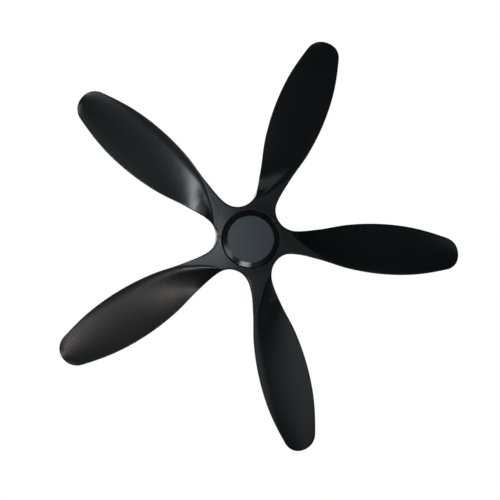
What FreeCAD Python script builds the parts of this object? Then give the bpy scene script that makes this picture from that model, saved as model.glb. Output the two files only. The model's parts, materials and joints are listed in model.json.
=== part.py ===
# Five-blade ceiling fan with a light, hung from a ball in a ceiling bracket.
# Frame: origin at the centre of the bracket's top face, +Z up, blade_1 along +X.
import FreeCAD, Part
import math
import os
import re
import Sketcher

Vector = FreeCAD.Vector

# ---------------------------------------------------------------- driving sizes
SIZES = {
    # clearances
    "slip_fit": 0.05,            # between a pin, shaft or ring and its seat in one body
    "swing_gap": 0.3,            # between the hanger ball and its seat
    "turn_gap": 0.4,             # between the lens and the pan
    "seam_gap": 0.5,             # between the roots of two blades
    # ceiling bracket and canopy
    "leg_inset": 10,             # canopy to a bracket leg, bridged by a canopy screw
    "bracket_width": 56,
    "bracket_sheet": 2,
    "bracket_drop": 64,
    "bracket_taper": 9,          # how far each leg leans in at its foot
    "taper_rise": 20,            # how high the leaning part of a leg is
    "slot_spacing": 89,
    "slot_width": 5.5,
    "slot_length": 18,
    "cup_wall": 3,
    "cup_rise": 10,
    "rod_side_play": 4.35,       # beside the rod in the slot that lets it into the cup
    "canopy_radius": 75,
    "canopy_wall": 1.2,
    "canopy_drop": 70,
    "canopy_round": 22,
    "canopy_hole_play": 13.35,   # round the rod, for its swing
    "canopy_gap": 1,             # from the ceiling to the canopy's rim
    "canopy_screw_drop": 30,
    "canopy_screw_bite": 5,      # screw past the outside of a bracket leg
    "terminal_length": 22,
    "terminal_width": 32,
    "terminal_rise": 15,
    "receiver_length": 22,
    "receiver_width": 46,
    "receiver_rise": 24,
    # hanger ball, rod and yoke
    "ball_radius": 26,
    "ball_drop": 46,             # ceiling to the ball's centre
    "ball_top_flat": 18,
    "ball_bottom_flat": 21,
    "groove_depth": 5,
    "groove_foot_angle": 58,     # level line to the groove's foot
    "tab_width": 4,
    "rod_radius": 10.65,
    "rod_wall": 2,
    "rod_length": 178,
    "pin_radius": 3,
    "cross_pin_length": 42,
    "cross_pin_rise": 6,         # pin above the ball's centre
    "yoke_grip": 30,             # length of rod held in the yoke
    "yoke_wall": 6.3,
    "yoke_flange_width": 14,
    "yoke_flange": 4,
    "yoke_floor": 6,             # metal between the rod's end and the shaft's end
    "shaft_grip": 13,
    "neck_wall": 4,              # yoke's neck round the shaft
    "yoke_pin_length": 42,
    "pin_head_rise": 2,
    "pin_head_lip": 1.2,
    "clip_wire": 0.9,
    "clip_reach": 8,             # clip's end above and below the pin
    "clip_tail": 9,
    "cover_top_play": 5,         # round the yoke
    "cover_foot_play": 5,        # round the yoke's flange
    "cover_wall": 1.5,
    "cover_play": 0.5,
    "cover_round": 3,
    "cover_headroom": 8,         # cover's top above the yoke
    # motor
    "rotor_side_gap": 8,         # rotor to the housing's inside
    "housing_wall": 2,
    "housing_round": 28,
    "housing_above_hub": 4,      # gap between the housing's rim and the turning hub
    "shaft_radius": 7.5,
    "shaft_bore": 4.5,
    "rotor_rim": 11,             # wall of the rotor case round the steel ring
    "rotor_rise": 60,
    "rotor_headroom": 17,        # housing's inside top to the rotor
    "cap_plate": 4,
    "cap_boss_wall": 4.5,
    "cap_eye_gap": 4,            # shaft to the eye of a rotor cap
    "ring_wall": 4,
    "ring_rise": 26,
    "magnet_wall": 4,
    "magnet_count": 14,
    "magnet_angle": 22,
    "air_gap": 1,
    "stator_radius": 60,
    "stack_rise": 22,
    "back_iron_radius": 30,
    "tooth_width": 7,
    "tooth_count": 12,
    "tooth_shoe": 4,
    "shoe_half_width": 13,
    "bobbin_wall": 1,
    "coil_wall": 3.2,
    "bearing_section": 10,       # shaft to the outer race's outside
    "bearing_width": 11,
    "race_wall": 3.5,            # inner race beside its groove
    "bearing_ball": 3,           # radius of a bearing ball
    "bearing_balls": 8,
    "track_play": 0.05,
    "cage_wall": 2,
    "cage_rise": 7,
    "circlip_width": 2.5,
    "circlip_sheet": 1.2,
    "circlip_seat": 0.5,
    "board_radius": 52,
    "board_eye_gap": 1.6,        # board's eye to the turning boss
    "board_sheet": 1.6,
    "board_drop": 10,
    "standoff_radius": 2.2,
    "board_part_offset": 36,     # axis to the parts on the board
    "board_part_side": 10,
    "board_part_rise": 2,
    "board_part_count": 6,
    # blades
    "blade_count": 5,
    "sweep_radius": 660,
    "hub_wall": 14,              # recess to the valley between two blades
    "valley_round": 60.7,
    "hub_rise": 43,
    "hub_gap": 1.2,              # light pan to the hub's recess
    "lip_chamfer": 1.2,
    "root_inner_radius": 48,
    "root_flange": 6,
    "inner_half_chord": 47.2,
    "middle_half_chord": 68.6,
    "widest_half_chord": 79,
    "outer_half_chord": 72.7,
    "tip_round": 52,
    "tip_turn": 15.6,            # degrees from the tip's side to the blade's edge
    "blade_sheet": 6,
    "blade_lift": 22,
    "crease_run": 46.4,          # valley radius to the crease along the blade's middle
    "crease_turn": 47,
    "crease_band": 11,
    "root_run": 87.4,            # valley radius to where the root's twist ends
    "root_pitch": 30,
    "tip_pitch": 11,
    "pitch_fade": 2.6,
    "root_rise_rate": 0.45,
    "blade_screw_inset": 14,     # rotor's edge to the blade screws
    "blade_screws_each": 3,
    # light
    "plate_radius": 44,
    "plate_sheet": 2,
    "plate_drop": 11,            # rotor's underside to the plate's top
    "nut_wall": 5.2,             # shaft to a nut's corner
    "nut_rise": 4,
    "pan_radius": 87.4,
    "pan_wall": 1.5,
    "pan_round": 4,
    "bezel_fall": 6.1,           # how far the bezel's cone falls to the lens
    "bezel_above_hub": 0.4,      # bezel's inner edge above the hub's underside
    "ledge_width": 2.4,
    "ledge_sheet": 1.5,
    "lens_radius": 71,
    "lens_wall": 2.5,
    "lens_proud": 1,             # lens face below the hub's underside
    "lens_round": 1.2,
    "skirt_wall": 1.6,
    "lug_reach": 1.8,
    "lug_rise": 1.5,
    "lug_angle": 12,
    "lug_count": 3,
    "lens_turn": 15,
    "led_board_radius": 62,
    "led_board_above_lens": 11,
    "boss_radius": 4,
    "boss_inset": 12,            # LED board's edge to its screws
    "boss_count": 3,
    "chip_side": 3,
    "chip_rise": 0.8,
    "outer_chips": 14,
    "inner_chips": 10,
    "outer_chip_circle": 42,
    "inner_chip_circle": 24,
    "driver_length": 44,
    "driver_width": 30,
    "driver_rise": 11,
    # fasteners
    "screw_radius": 2,
    "housing_screw_count": 4,
    "light_screw_count": 3,
    "screw_head_radius": 3.6,
    "screw_head": 2.4,
    "set_screw_radius": 2.5,
}

# Heights from the ceiling, negative downwards, and radii worked out from the sizes.
LEVELS = {
    "bracket_length": "2 * (canopy_radius - leg_inset)",
    "cup_radius": "ball_radius + cup_wall",
    "cup_slot": "2 * (rod_radius + rod_side_play)",
    "canopy_hole": "rod_radius + canopy_hole_play",
    "yoke_radius": "rod_radius + slip_fit + yoke_wall",
    "yoke_flange_radius": "yoke_radius + yoke_flange_width",
    "neck_radius": "shaft_radius + neck_wall",
    "cover_top_radius": "yoke_radius + cover_top_play",
    "cover_foot_radius": "yoke_flange_radius + cover_foot_play",
    "seat_floor": "-bracket_drop",
    "ball_mid": "-ball_drop",
    "cross_pin_mid": "ball_mid + cross_pin_rise",
    "ball_screw_z": "ball_mid - cross_pin_rise - 2",
    "rod_top": "ball_mid + ball_top_flat - 2",
    "rod_foot": "rod_top - rod_length",
    "yoke_top": "rod_foot + yoke_grip",
    "shaft_top": "rod_foot - yoke_floor",
    "yoke_foot": "shaft_top - shaft_grip",
    "yoke_pin_mid": "yoke_top - yoke_grip / 2",
    "yoke_clip_x": "yoke_pin_length / 2 - 2",
    "yoke_screw_z": "yoke_pin_mid + 8",
    "housing_screw_circle": "(yoke_radius + yoke_flange_radius) / 2",
    "light_screw_circle": "(nut_radius + plate_radius) / 2 + 2",
    "driver_offset": "light_screw_circle + screw_head_radius + slip_fit",
    "housing_top": "yoke_foot + housing_wall + 2",
    "rotor_top": "housing_top - housing_wall - rotor_headroom",
    "rotor_foot": "rotor_top - rotor_rise",
    "housing_foot": "rotor_foot + housing_above_hub",
    "rotor_mid": "(rotor_top + rotor_foot) / 2",
    "upper_bearing_top": "rotor_top - cap_plate",
    "upper_bearing_foot": "upper_bearing_top - bearing_width",
    "lower_bearing_foot": "rotor_foot + cap_plate",
    "lower_bearing_top": "lower_bearing_foot + bearing_width",
    "stack_foot": "rotor_mid - stack_rise / 2",
    "board_top": "stack_foot - board_drop",
    "magnet_inner": "stator_radius + air_gap",
    "ring_inner": "magnet_inner + magnet_wall",
    "ring_outer": "ring_inner + ring_wall",
    "rotor_radius": "ring_outer + rotor_rim",
    "housing_radius": "rotor_radius + rotor_side_gap + housing_wall",
    "rotor_bolt_circle": "(ring_outer + rotor_radius) / 2",
    "bearing_radius": "shaft_radius + bearing_section",
    "race_edge": "shaft_radius + race_wall",
    "ball_track": "(shaft_radius + bearing_radius) / 2",
    "cap_eye_radius": "shaft_radius + cap_eye_gap",
    "board_eye_radius": "bearing_radius + cap_boss_wall + board_eye_gap",
    "recess_radius": "pan_radius + hub_gap",
    "hub_radius": "recess_radius + hub_wall",
    "crease_reach": "hub_radius + crease_run",
    "root_end": "hub_radius + root_run",
    "blade_screw_radius": "rotor_radius - blade_screw_inset",
    "nut_radius": "shaft_radius + nut_wall",
    "boss_circle": "led_board_radius - boss_inset",
    "hub_foot": "rotor_foot - hub_rise",
    "plate_top": "rotor_foot - plate_drop",
    "pan_top": "plate_top - plate_sheet",
    "shaft_foot": "pan_top - pan_wall - nut_rise - 3",
    "lens_face": "hub_foot - lens_proud",
    "lens_back": "lens_face + lens_wall",
    "bezel_foot": "hub_foot + bezel_above_hub",
    "ledge_foot": "lens_back + swing_gap",
    "ledge_top": "ledge_foot + ledge_sheet",
    "ledge_radius": "lens_radius + turn_gap - ledge_width",
    "skirt_radius": "ledge_radius - turn_gap",
    "notch_radius": "ledge_radius + lug_reach + turn_gap",
    "led_board_foot": "lens_face + led_board_above_lens",
    "led_board_top": "led_board_foot + board_sheet",
}

doc = FreeCAD.newDocument("ceiling_fan")
sheet = doc.addObject("Spreadsheet::Sheet", "Sizes")
for row, (size_name, size_value) in enumerate(SIZES.items(), start=1):
    sheet.set("A%d" % row, size_name)
    sheet.set("B%d" % row, str(size_value))
    sheet.setAlias("B%d" % row, size_name)
doc.recompute()


def linked(text):
    """An expression with each size and level named through its own object."""

    def full_name(match):
        word = match.group(0)
        if word in SIZES:
            return "Sizes." + word
        if word in LEVELS:
            return "Levels." + word
        return word

    return re.sub(r"[a-z][a-z_0-9]*", full_name, text)


levels = doc.addObject("App::VarSet", "Levels")
for level_name in LEVELS:
    levels.addProperty("App::PropertyFloat", level_name)
for level_name, level_text in LEVELS.items():
    own = re.sub(r"Levels\.", "", linked(level_text))
    levels.setExpression(level_name, own)
doc.recompute()


def number(text):
    """The present value of an expression."""
    return float(levels.evalExpression(linked(text)))


# ---------------------------------------------------------------- sketch and feature helpers
SUBPARTS = []


def new_body(label):
    body = doc.addObject("PartDesign::Body", label)
    body.Label = label
    SUBPARTS.append(body)
    return body


def origin_feature(body, role):
    for feature in body.Origin.OriginFeatures:
        if feature.Role == role:
            return feature
    raise ValueError(role)


def new_sketch(body, role, shift=("0", "0", "0"), turn="0"):
    """A sketch on an origin plane, shifted in the plane's own axes and turned about its normal."""
    sketch = body.newObject("Sketcher::SketchObject", body.Label + "_sketch")
    sketch.AttachmentSupport = [(origin_feature(body, role), "")]
    sketch.MapMode = "FlatFace"
    for axis, text in zip("xyz", shift):
        if text != "0":
            sketch.setExpression("AttachmentOffset.Base." + axis, linked(text))
    if turn != "0":
        sketch.setExpression("AttachmentOffset.Rotation.Angle", linked(turn))
    return sketch


def place_point(sketch, geometry, end, x_text, y_text):
    """Tie one point of a sketch to two expressions."""
    for kind, text in (("DistanceX", x_text), ("DistanceY", y_text)):
        index = sketch.addConstraint(Sketcher.Constraint(kind, -1, 1, geometry, end, number(text)))
        sketch.setExpression("Constraints[%d]" % index, linked(text))


def arc_between(start, end, radius, side):
    """The shorter arc from start to end; side is +1 where it bulges to the left of the way there."""
    chord = end - start
    left = Vector(-chord.y, chord.x, 0).normalize()
    inward = math.sqrt(max(radius ** 2 - (chord.Length / 2) ** 2, 0))
    centre = (start + end) * 0.5 - left * side * inward
    first, last = (start, end) if side < 0 else (end, start)
    angles = [math.atan2(place.y - centre.y, place.x - centre.x) for place in (first, last)]
    if angles[1] < angles[0]:
        angles[1] += 2 * math.pi
    return Part.ArcOfCircle(Part.Circle(centre, Vector(0, 0, 1), radius), *angles)


def draw_loop(sketch, points):
    """A closed outline. A point is (x, y), or (x, y, radius, side) where an arc leaves it."""
    first = sketch.GeometryCount
    count = len(points)
    places = [Vector(number(point[0]), number(point[1]), 0) for point in points]
    heads = []
    for step, point in enumerate(points):
        start, end = places[step], places[(step + 1) % count]
        if len(point) == 4:
            sketch.addGeometry(arc_between(start, end, number(point[2]), point[3]), False)
            heads.append(1 if point[3] < 0 else 2)
        else:
            sketch.addGeometry(Part.LineSegment(start, end), False)
            heads.append(1)
    for step, point in enumerate(points):
        after = (step + 1) % count
        tail = 3 - heads[step]
        sketch.addConstraint(
            Sketcher.Constraint("Coincident", first + step, tail, first + after, heads[after]))
    for step, point in enumerate(points):
        place_point(sketch, first + step, heads[step], point[0], point[1])
        if len(point) == 4:
            index = sketch.addConstraint(
                Sketcher.Constraint("Radius", first + step, number(point[2])))
            sketch.setExpression("Constraints[%d]" % index, linked(point[2]))


def draw_circle(sketch, x_text, y_text, radius):
    index = sketch.GeometryCount
    centre = Vector(number(x_text), number(y_text), 0)
    sketch.addGeometry(Part.Circle(centre, Vector(0, 0, 1), number(radius)), False)
    place_point(sketch, index, 3, x_text, y_text)
    size = sketch.addConstraint(Sketcher.Constraint("Radius", index, number(radius)))
    sketch.setExpression("Constraints[%d]" % size, linked(radius))


def revolve(body, points, cut=False, away="0", angle="360"):
    """Turn a profile of (radius, height) points about an upright line at x = away."""
    sketch = new_sketch(body, "XZ_Plane", (away, "0", "0"))
    draw_loop(sketch, points)
    type_name = "PartDesign::Groove" if cut else "PartDesign::Revolution"
    feature = body.newObject(type_name, body.Label + "_turn")
    feature.Profile = sketch
    feature.ReferenceAxis = (sketch, ["V_Axis"])
    feature.setExpression("Angle", linked(angle))
    feature.Midplane = angle != "360"
    return feature


def turned(label, points, **options):
    body = new_body(label)
    revolve(body, points, **options)
    return body


def pad(body, role, loops, start, length, cut=False, shift=("0", "0"), turn="0"):
    """Extrude loops along the plane's normal from start by length, or cut them out."""
    sketch = new_sketch(body, role, (shift[0], shift[1], start), turn)
    for loop in loops:
        if isinstance(loop, tuple):
            draw_circle(sketch, *loop)
        else:
            draw_loop(sketch, loop)
    type_name = "PartDesign::Pocket" if cut else "PartDesign::Pad"
    feature = body.newObject(type_name, body.Label + ("_cut" if cut else "_pad"))
    feature.Profile = sketch
    feature.setExpression("Length", linked(length))
    feature.Reversed = cut
    return feature


def padded(label, role, loops, start, length, **options):
    body = new_body(label)
    pad(body, role, loops, start, length, **options)
    return body


def ring_of(body, features, count, axis="Z_Axis"):
    """Repeat features evenly about the axis."""
    pattern = body.newObject("PartDesign::PolarPattern", body.Label + "_ring")
    pattern.Originals = features
    pattern.Axis = (origin_feature(body, axis), [""])
    pattern.Angle = 360
    pattern.setExpression("Occurrences", linked(count))
    body.Tip = pattern
    return pattern


def box_loop(x_low, x_high, y_low, y_high):
    return [(x_low, y_low), (x_high, y_low), (x_high, y_high), (x_low, y_high)]


def sector_loop(inner, outer, half_angle):
    """A short straight-sided piece of a ring, centred on the x axis, with a round outer face."""
    inner_x, inner_y = "(%s) * cos(%s)" % (inner, half_angle), "(%s) * sin(%s)" % (inner, half_angle)
    outer_x, outer_y = "(%s) * cos(%s)" % (outer, half_angle), "(%s) * sin(%s)" % (outer, half_angle)
    return [(inner_x, "-" + inner_y), (outer_x, "-" + outer_y, outer, -1), (outer_x, outer_y),
            (inner_x, inner_y)]


def box(label, x_low, x_high, y_low, y_high, z_low, rise):
    return padded(label, "XY_Plane", [box_loop(x_low, x_high, y_low, y_high)], z_low, rise)


def screw_profile(seat, head_up, shank):
    """A screw's (radius, height) outline from its head's seat; head_up is '+' or '-'."""
    down = "-" if head_up == "+" else "+"
    head_end = "%s %s screw_head" % (seat, head_up)
    tip = "%s %s (%s)" % (seat, down, shank)
    return [("0", tip), ("screw_radius", tip), ("screw_radius", seat),
            ("screw_head_radius", seat), ("screw_head_radius", head_end), ("0", head_end)]


def hole(body, x_text, y_text, radius, start, length, role="XY_Plane"):
    return pad(body, role, [(x_text, y_text, radius)], start, length, cut=True)


# ---------------------------------------------------------------- ceiling mount
def mounting_bracket():
    """A folded strap: a plate for the ceiling, two legs and a cup for the hanger ball."""
    half = "bracket_length / 2"
    foot = "(bracket_length / 2 - bracket_taper)"
    knee = "(seat_floor + taper_rise)"
    inner = "(bracket_length / 2 - bracket_sheet)"
    inner_foot = "(bracket_length / 2 - bracket_taper - bracket_sheet)"
    outer_loop = [(half, "0"), ("-" + half, "0"), ("-" + half, knee), ("-" + foot, "seat_floor"),
                  (foot, "seat_floor"), (half, knee)]
    floor = "seat_floor + bracket_sheet"
    inner_loop = [(inner, "-bracket_sheet"), ("-" + inner, "-bracket_sheet"), ("-" + inner, knee),
                  ("-" + inner_foot, floor), (inner_foot, floor), (inner, knee)]
    body = padded("mounting_bracket", "XZ_Plane", [outer_loop, inner_loop],
                  "-bracket_width / 2", "bracket_width")
    revolve(body, [("0", "seat_floor"), ("cup_radius", "seat_floor"),
                   ("cup_radius", "seat_floor + cup_rise"), ("0", "seat_floor + cup_rise")])
    seat = "(ball_radius + swing_gap)"
    revolve(body, [("0", "ball_mid - " + seat, seat, -1), (seat, "ball_mid"), ("0", "ball_mid")],
            cut=True)
    pad(body, "XY_Plane", [box_loop("-cup_slot / 2", "cup_slot / 2", "0", "bracket_width")],
        "seat_floor - 1", "cup_rise + 2", cut=True)
    pad(body, "XY_Plane",
        [box_loop("-tab_width / 2", "tab_width / 2", "-(cup_radius - 1)", "-(ball_radius - groove_depth - 2)")],
        "seat_floor + bracket_sheet", "groove_depth")
    reach = "(slot_length - slot_width) / 2"
    side = "slot_width / 2"
    above, through = "-bracket_sheet - 1", "bracket_sheet + 2"
    for sign in ("-", ""):
        middle = sign + "slot_spacing / 2"
        ends = ["%s - %s" % (middle, reach), "%s + %s" % (middle, reach)]
        pad(body, "XY_Plane", [box_loop(ends[0], ends[1], "-" + side, side)], above, through,
            cut=True)
        for end in ends:
            hole(body, end, "0", side, above, through)
    hole(body, "0", "-canopy_screw_drop", "screw_radius + slip_fit",
         "-bracket_length / 2 - 1", "bracket_length + 2", "YZ_Plane")
    return body


def canopy():
    """A round cup that hides the bracket, with a hole for the ball and rod."""
    flat = "(canopy_radius - canopy_round)"
    bend = "-(canopy_drop - canopy_round)"
    body = turned("canopy", [
        ("canopy_radius", "-canopy_gap"), ("canopy_radius - canopy_wall", "-canopy_gap"),
        ("canopy_radius - canopy_wall", bend, "canopy_round - canopy_wall", 1),
        (flat, "canopy_wall - canopy_drop"), ("canopy_hole", "canopy_wall - canopy_drop"),
        ("canopy_hole", "-canopy_drop"), (flat, "-canopy_drop", "canopy_round", -1),
        ("canopy_radius", bend)])
    hole(body, "0", "-canopy_screw_drop", "screw_radius + slip_fit",
         "-canopy_radius - 1", "2 * canopy_radius + 2", "YZ_Plane")
    return body


def canopy_screws():
    """Two screws, one from each side, through the canopy into the bracket's legs."""
    body = new_body("canopy_screws")
    tip = "bracket_length / 2 - canopy_screw_bite"
    sketch = new_sketch(body, "XZ_Plane", ("0", "-canopy_screw_drop", "0"))
    draw_loop(sketch, [(tip, "0"), ("canopy_radius + screw_head", "0"),
                       ("canopy_radius + screw_head", "screw_head_radius"),
                       ("canopy_radius", "screw_head_radius"), ("canopy_radius", "screw_radius"),
                       (tip, "screw_radius")])
    turn = body.newObject("PartDesign::Revolution", "canopy_screw_turn")
    turn.Profile = sketch
    turn.ReferenceAxis = (sketch, ["H_Axis"])
    turn.Angle = 360
    ring_of(body, [turn], "2")
    return body


def ceiling_electrics():
    """The terminal block and the remote's receiver stand on the bracket's floor."""
    edge = "(bracket_length / 2 - bracket_taper - bracket_sheet - 2)"
    floor = "seat_floor + bracket_sheet"
    terminals = box("terminal_block", "-" + edge, "terminal_length - " + edge,
                    "-terminal_width / 2", "terminal_width / 2", floor, "terminal_rise")
    for way in ("-1.5", "-0.5", "0.5", "1.5"):
        hole(terminals, "terminal_length / 2 - " + edge, way + " * terminal_width / 4.4", "2",
             "%s + terminal_rise - 6" % floor, "7")
    box("remote_receiver", edge + " - receiver_length", edge,
        "-receiver_width / 2", "receiver_width / 2", floor, "receiver_rise")


# ---------------------------------------------------------------- rod, ball and yoke
def hanger_ball():
    """A cut-off ball bored for the rod, slotted for its cross pin, grooved for the seat's tab."""
    top = "(ball_mid + ball_top_flat)"
    foot = "(ball_mid - ball_bottom_flat)"
    top_radius = "sqrt(ball_radius ^ 2 - ball_top_flat ^ 2)"
    foot_radius = "sqrt(ball_radius ^ 2 - ball_bottom_flat ^ 2)"
    bore = "rod_radius + slip_fit"
    body = turned("hanger_ball", [
        (bore, foot), (foot_radius, foot, "ball_radius", -1), (top_radius, top), (bore, top)])
    pin = "(pin_radius + slip_fit)"
    pad(body, "XY_Plane", [box_loop("-cross_pin_length / 2 - 0.5", "cross_pin_length / 2 + 0.5",
                                    "-" + pin, pin)],
        "cross_pin_mid - pin_radius - slip_fit", "ball_radius * 2", cut=True)
    hole(body, "0", "ball_screw_z", "set_screw_radius + slip_fit",
         "-2 * ball_radius", "2 * ball_radius", "XZ_Plane")
    base = "(ball_radius - groove_depth)"
    rim = "(ball_radius + 4)"
    low = "groove_foot_angle"
    pad(body, "YZ_Plane",
        [[("-" + rim, "ball_mid - 2"), ("-sqrt(%s ^ 2 - 4)" % base, "ball_mid - 2", base, -1),
          ("-%s * cos(%s)" % (base, low), "ball_mid - %s * sin(%s)" % (base, low)),
          ("-%s * cos(%s)" % (rim, low), "ball_mid - %s * sin(%s)" % (rim, low))]],
        "-tab_width / 2 - 0.5", "tab_width + 1", cut=True)
    return body


def cross_rod(label, x_low, length, z_mid, radius, role="YZ_Plane"):
    """A round pin lying across the rod."""
    return padded(label, role, [("0", z_mid, radius)], x_low, length)


def downrod():
    """A tube with cross holes for the ball's pin and the yoke's pin."""
    inner = "rod_radius - rod_wall"
    body = turned("downrod", [(inner, "rod_foot"), ("rod_radius", "rod_foot"),
                              ("rod_radius", "rod_top"), (inner, "rod_top")])
    for height in ("cross_pin_mid", "yoke_pin_mid"):
        hole(body, "0", height, "pin_radius + slip_fit", "-2 * rod_radius", "4 * rod_radius",
             "YZ_Plane")
    return body


def motor_yoke():
    """A collar that grips the rod, with a flange on the motor housing and a socket for the shaft."""
    body = turned("motor_yoke", [
        ("rod_radius + slip_fit", "rod_foot"), ("rod_radius + slip_fit", "yoke_top"),
        ("yoke_radius", "yoke_top"), ("yoke_radius", "housing_top + yoke_flange"),
        ("yoke_flange_radius", "housing_top + yoke_flange"), ("yoke_flange_radius", "housing_top"),
        ("neck_radius", "housing_top"), ("neck_radius", "yoke_foot"),
        ("shaft_radius + slip_fit", "yoke_foot"), ("shaft_radius + slip_fit", "shaft_top"),
        ("shaft_bore", "shaft_top"), ("shaft_bore", "rod_foot")])
    hole(body, "0", "yoke_pin_mid", "pin_radius + slip_fit", "-2 * yoke_radius",
         "4 * yoke_radius", "YZ_Plane")
    hole(body, "0", "yoke_screw_z", "set_screw_radius + slip_fit", "-2 * yoke_radius",
         "4 * yoke_radius", "XZ_Plane")
    first = hole(body, "housing_screw_circle", "0", "screw_radius + slip_fit", "housing_top - 1",
                 "yoke_flange + 2")
    ring_of(body, [first], "housing_screw_count")
    return body


def pins_and_set_screws():
    cross_rod("ball_cross_pin", "-cross_pin_length / 2", "cross_pin_length", "cross_pin_mid",
              "pin_radius")
    cross_rod("ball_set_screw", "-(ball_radius - 4)", "ball_radius - 4 - rod_radius - slip_fit",
              "ball_screw_z", "set_screw_radius", "XZ_Plane")
    pin = cross_rod("yoke_pin", "-yoke_pin_length / 2 + pin_head_rise", "yoke_pin_length", "yoke_pin_mid",
                    "pin_radius")
    pad(pin, "YZ_Plane", [("0", "yoke_pin_mid", "pin_radius + pin_head_lip")],
        "-yoke_pin_length / 2", "pin_head_rise")
    hole(pin, "yoke_clip_x", "0", "clip_wire + slip_fit", "yoke_pin_mid - 5", "10")
    screws = new_body("yoke_set_screws")
    screw = pad(screws, "XZ_Plane", [("0", "yoke_screw_z", "set_screw_radius")],
                "rod_radius + slip_fit", "yoke_radius - rod_radius + 2")
    ring_of(screws, [screw], "2")


def yoke_pin_clip():
    """A straight wire pin with a bent tail, through the end of the yoke pin."""
    body = padded("yoke_pin_clip", "XY_Plane", [("yoke_clip_x", "0", "clip_wire")],
                  "yoke_pin_mid - clip_reach", "2 * clip_reach")
    pad(body, "XY_Plane", [box_loop("yoke_clip_x - clip_wire", "yoke_clip_x + clip_wire",
                                    "-clip_wire", "clip_tail")], "yoke_pin_mid + clip_reach - 2",
        "2 * clip_wire")
    return body


def coupling_cover():
    """A cone that slides on the rod and hides the yoke."""
    eye = "rod_radius + cover_play"
    top = "(yoke_top + cover_headroom)"
    body = turned("coupling_cover", [
        (eye, top), ("cover_top_radius - cover_round", top, "cover_round", 1),
        ("cover_top_radius", top + " - cover_round"), ("cover_foot_radius", "housing_top"),
        ("cover_foot_radius - cover_wall", "housing_top"),
        ("cover_top_radius - cover_wall", top + " - cover_round",
         "cover_round - cover_wall + 1.2", -1),
        ("cover_top_radius - cover_round", top + " - cover_wall"), (eye, top + " - cover_wall")])
    return body


# ---------------------------------------------------------------- motor
def motor_housing():
    """A round shell over the motor, open below, fixed under the yoke's flange."""
    flat = "(housing_radius - housing_round)"
    bend = "(housing_top - housing_round)"
    inner = "housing_radius - housing_wall"
    ceiling = "(housing_top - housing_wall)"
    body = turned("motor_housing", [
        ("neck_radius + slip_fit", ceiling), ("neck_radius + slip_fit", "housing_top"),
        (flat, "housing_top", "housing_round", 1), ("housing_radius", bend),
        ("housing_radius", "housing_foot"), (inner, "housing_foot"),
        (inner, bend, "housing_round - housing_wall", -1), (flat, ceiling)])
    first = hole(body, "housing_screw_circle", "0", "screw_radius + slip_fit",
                 "housing_top - housing_wall - 1", "housing_wall + 2")
    ring_of(body, [first], "housing_screw_count")
    return body


def motor_shaft():
    """A hollow shaft that stands still: the rotor turns about it and the light hangs from it."""
    body = turned("motor_shaft", [
        ("shaft_bore", "shaft_foot"), ("shaft_radius", "shaft_foot"),
        ("shaft_radius", "shaft_top"), ("shaft_bore", "shaft_top")])
    seat = "shaft_radius - circlip_seat"
    for low in ("upper_bearing_foot - circlip_sheet", "lower_bearing_top"):
        high = low + " + circlip_sheet"
        revolve(body, [(seat, low), ("shaft_radius + 1", low), ("shaft_radius + 1", high),
                       (seat, high)], cut=True)
    return body


def circlips():
    """Two open rings that hold the bearings' inner races on the shaft."""
    body = new_body("circlips")
    inner = "shaft_radius - circlip_seat + slip_fit"
    outer = "shaft_radius + circlip_width"
    play = "slip_fit"
    for low in ("upper_bearing_foot - circlip_sheet + " + play, "lower_bearing_top + " + play):
        high = low + " + circlip_sheet - 2 * " + play
        revolve(body, [(inner, low), (outer, low), (outer, high), (inner, high)], angle="290")
    return body


def stator_core():
    """Stacked laminations: a back iron on the shaft and a ring of T-shaped teeth."""
    body = padded("stator_core", "XY_Plane",
                  [("0", "0", "back_iron_radius"), ("0", "0", "shaft_radius + slip_fit")],
                  "stack_foot", "stack_rise")
    half = "tooth_width / 2"
    root = "back_iron_radius - 1"
    neck = "stator_radius - tooth_shoe"
    face = "sqrt(stator_radius ^ 2 - shoe_half_width ^ 2)"
    tooth = pad(body, "XY_Plane", [[
        (root, "-" + half), (neck, "-" + half), (neck, "-shoe_half_width"),
        (face, "-shoe_half_width", "stator_radius", -1), (face, "shoe_half_width"),
        (neck, "shoe_half_width"), (neck, half), (root, half)]], "stack_foot", "stack_rise")
    ring_of(body, [tooth], "tooth_count")
    return body


def tooth_sleeve(label, start, length, skin, inset):
    """A rectangular tube round each tooth, skin thick, its bore inset from the tooth."""
    body = new_body(label)
    inner_y = "(tooth_width / 2 + %s)" % inset
    inner_z = "(stack_rise / 2 + %s)" % inset
    outer_y = "(%s + %s)" % (inner_y, skin)
    outer_z = "(%s + %s)" % (inner_z, skin)
    loops = [box_loop("-" + outer_y, outer_y, "rotor_mid - " + outer_z, "rotor_mid + " + outer_z),
             box_loop("-" + inner_y, inner_y, "rotor_mid - " + inner_z, "rotor_mid + " + inner_z)]
    sleeve = pad(body, "YZ_Plane", loops, start, length)
    ring_of(body, [sleeve], "tooth_count")
    return body


def stator_coils():
    start = "back_iron_radius + 0.2"
    length = "stator_radius - tooth_shoe - back_iron_radius - 0.4"
    tooth_sleeve("coil_bobbins", start, length, "bobbin_wall", "slip_fit")
    tooth_sleeve("stator_windings", "back_iron_radius + 2", length + " - 3", "coil_wall",
                 "(bobbin_wall + 2 * slip_fit)")


def driver_board():
    """A ring-shaped circuit board under the stator, on three stand-offs."""
    board = padded("driver_board", "XY_Plane",
                   [("0", "0", "board_radius"), ("0", "0", "board_eye_radius")],
                   "board_top - board_sheet", "board_sheet")
    half = "board_part_side / 2"
    first_part = pad(board, "XY_Plane",
                     [box_loop("board_part_offset", "board_part_offset + board_part_side",
                               "-" + half, half)],
                     "board_top - board_sheet - board_part_rise", "board_part_rise")
    ring_of(board, [first_part], "board_part_count")
    standoffs = new_body("board_standoffs")
    first = pad(standoffs, "XY_Plane", [("(board_eye_radius + back_iron_radius) / 2", "0",
                                         "standoff_radius")], "board_top", "board_drop")
    ring_of(standoffs, [first], "3")


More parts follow.
